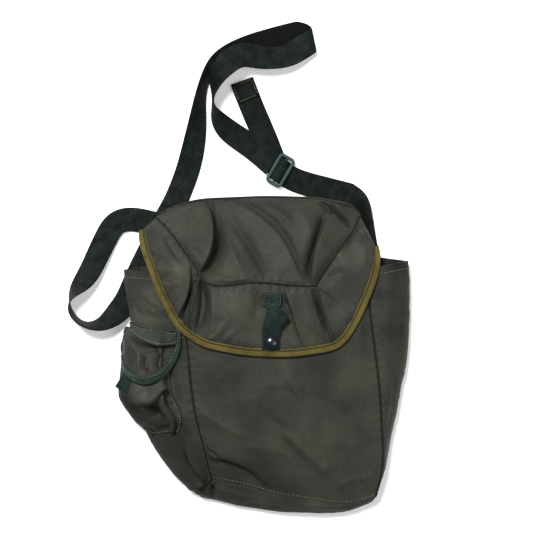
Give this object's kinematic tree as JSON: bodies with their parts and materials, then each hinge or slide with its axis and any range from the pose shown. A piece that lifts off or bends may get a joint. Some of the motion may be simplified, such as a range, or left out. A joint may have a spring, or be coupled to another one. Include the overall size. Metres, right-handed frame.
{
  "type": "shoulder haversack",
  "caption": "Empty nylon shoulder haversack with a boxed, bound flap on a snap, a gusset pocket with its own flap, and an adjustable webbing strap.",
  "frame": {"origin": "centre of the back panel's resting face, on the floor", "axes": "+Z out of the front panel, +Y towards the mouth and flap fold, +X to the right seen from the front"},
  "size_m": [0.3545, 0.5089, 0.0547],
  "materials": {
    "body_nylon": "coated nylon, fine plain weave",
    "flap_nylon": "coated nylon, fine plain weave, slight sheen",
    "pocket_nylon": "coated nylon, worn",
    "gold_binding": "bias tape, stitched",
    "green_binding": "bias tape, stitched",
    "strap_webbing": "ribbed webbing",
    "tab_webbing": "ribbed webbing",
    "slider_paint": "satin enamel",
    "snap_lacquer": "gloss lacquer"
  },
  "bodies": {
    "bag": {"front_panel": "body_nylon", "back_panel": "body_nylon", "left_gusset": "body_nylon", "right_gusset": "body_nylon", "bottom_panel": "body_nylon", "mouth_hem_front": "body_nylon", "mouth_hem_left": "body_nylon", "mouth_hem_right": "body_nylon", "pocket_front": "pocket_nylon", "pocket_mouth_hem": "pocket_nylon", "pocket_flap_seam": "pocket_nylon", "snap_stud": "snap_lacquer", "stud_patch": "body_nylon", "strap_anchor_left": "strap_webbing", "strap_anchor_right": "strap_webbing", "strap_left_end": "strap_webbing", "strap_left_loop_top": "strap_webbing", "strap_left_loop_side": "strap_webbing", "strap_left_loop_end": "strap_webbing", "strap_left_loop_back": "strap_webbing", "strap_under_bag": "strap_webbing", "short_strap_side": "strap_webbing", "short_strap_end": "strap_webbing"},
    "flap": {"flap_top_panel": "flap_nylon", "flap_front_panel": "flap_nylon", "flap_left_ear": "flap_nylon", "flap_right_ear": "flap_nylon", "flap_binding_left": "gold_binding", "flap_binding_front": "gold_binding", "flap_binding_right": "gold_binding", "flap_tab_anchor": "tab_webbing", "flap_tab": "tab_webbing", "flap_tab_end": "tab_webbing", "snap_cap": "snap_lacquer", "snap_socket": "snap_lacquer"},
    "pocket_flap": {"pocket_flap": "pocket_nylon", "pocket_flap_binding": "green_binding", "pocket_pull_tab": "tab_webbing"},
    "strap_loop": {"strap_rise_lower": "strap_webbing", "strap_rise_upper": "strap_webbing", "strap_top_back": "strap_webbing", "strap_top_fold": "strap_webbing", "strap_top_front": "strap_webbing", "strap_top_turn": "strap_webbing", "strap_return_upper": "strap_webbing", "strap_return_lower": "strap_webbing", "short_strap_tail": "strap_webbing", "short_strap_tip": "strap_webbing", "short_strap_under_slider": "strap_webbing"},
    "slider": {"slider_frame": "slider_paint", "slider_bar": "slider_paint", "short_strap_turn": "strap_webbing", "strap_sewn_end": "strap_webbing"}
  },
  "joints": [
    {"name": "flap_hinge", "type": "hinge", "parent": "bag", "child": "flap", "pos_m": [0, 0.196, 0.0052], "axis": [-1, 0, 0], "range_deg": [0, 90]},
    {"name": "pocket_flap_hinge", "type": "hinge", "parent": "bag", "child": "pocket_flap", "pos_m": [-0.11875, 0.0585, 0.0236], "axis": [-0.9279, 0.0687, -0.3666], "range_deg": [0, 50]},
    {"name": "strap_lift", "type": "hinge", "parent": "bag", "child": "strap_loop", "pos_m": [-0.0948, 0.1948, 0.00105], "axis": [0.9981, 0.0619, 0], "range_deg": [0, 30]},
    {"name": "slider_slide", "type": "slide", "parent": "strap_loop", "child": "slider", "axis": [0.866, -0.5, 0], "range_m": [0, 0.012]}
  ]
}
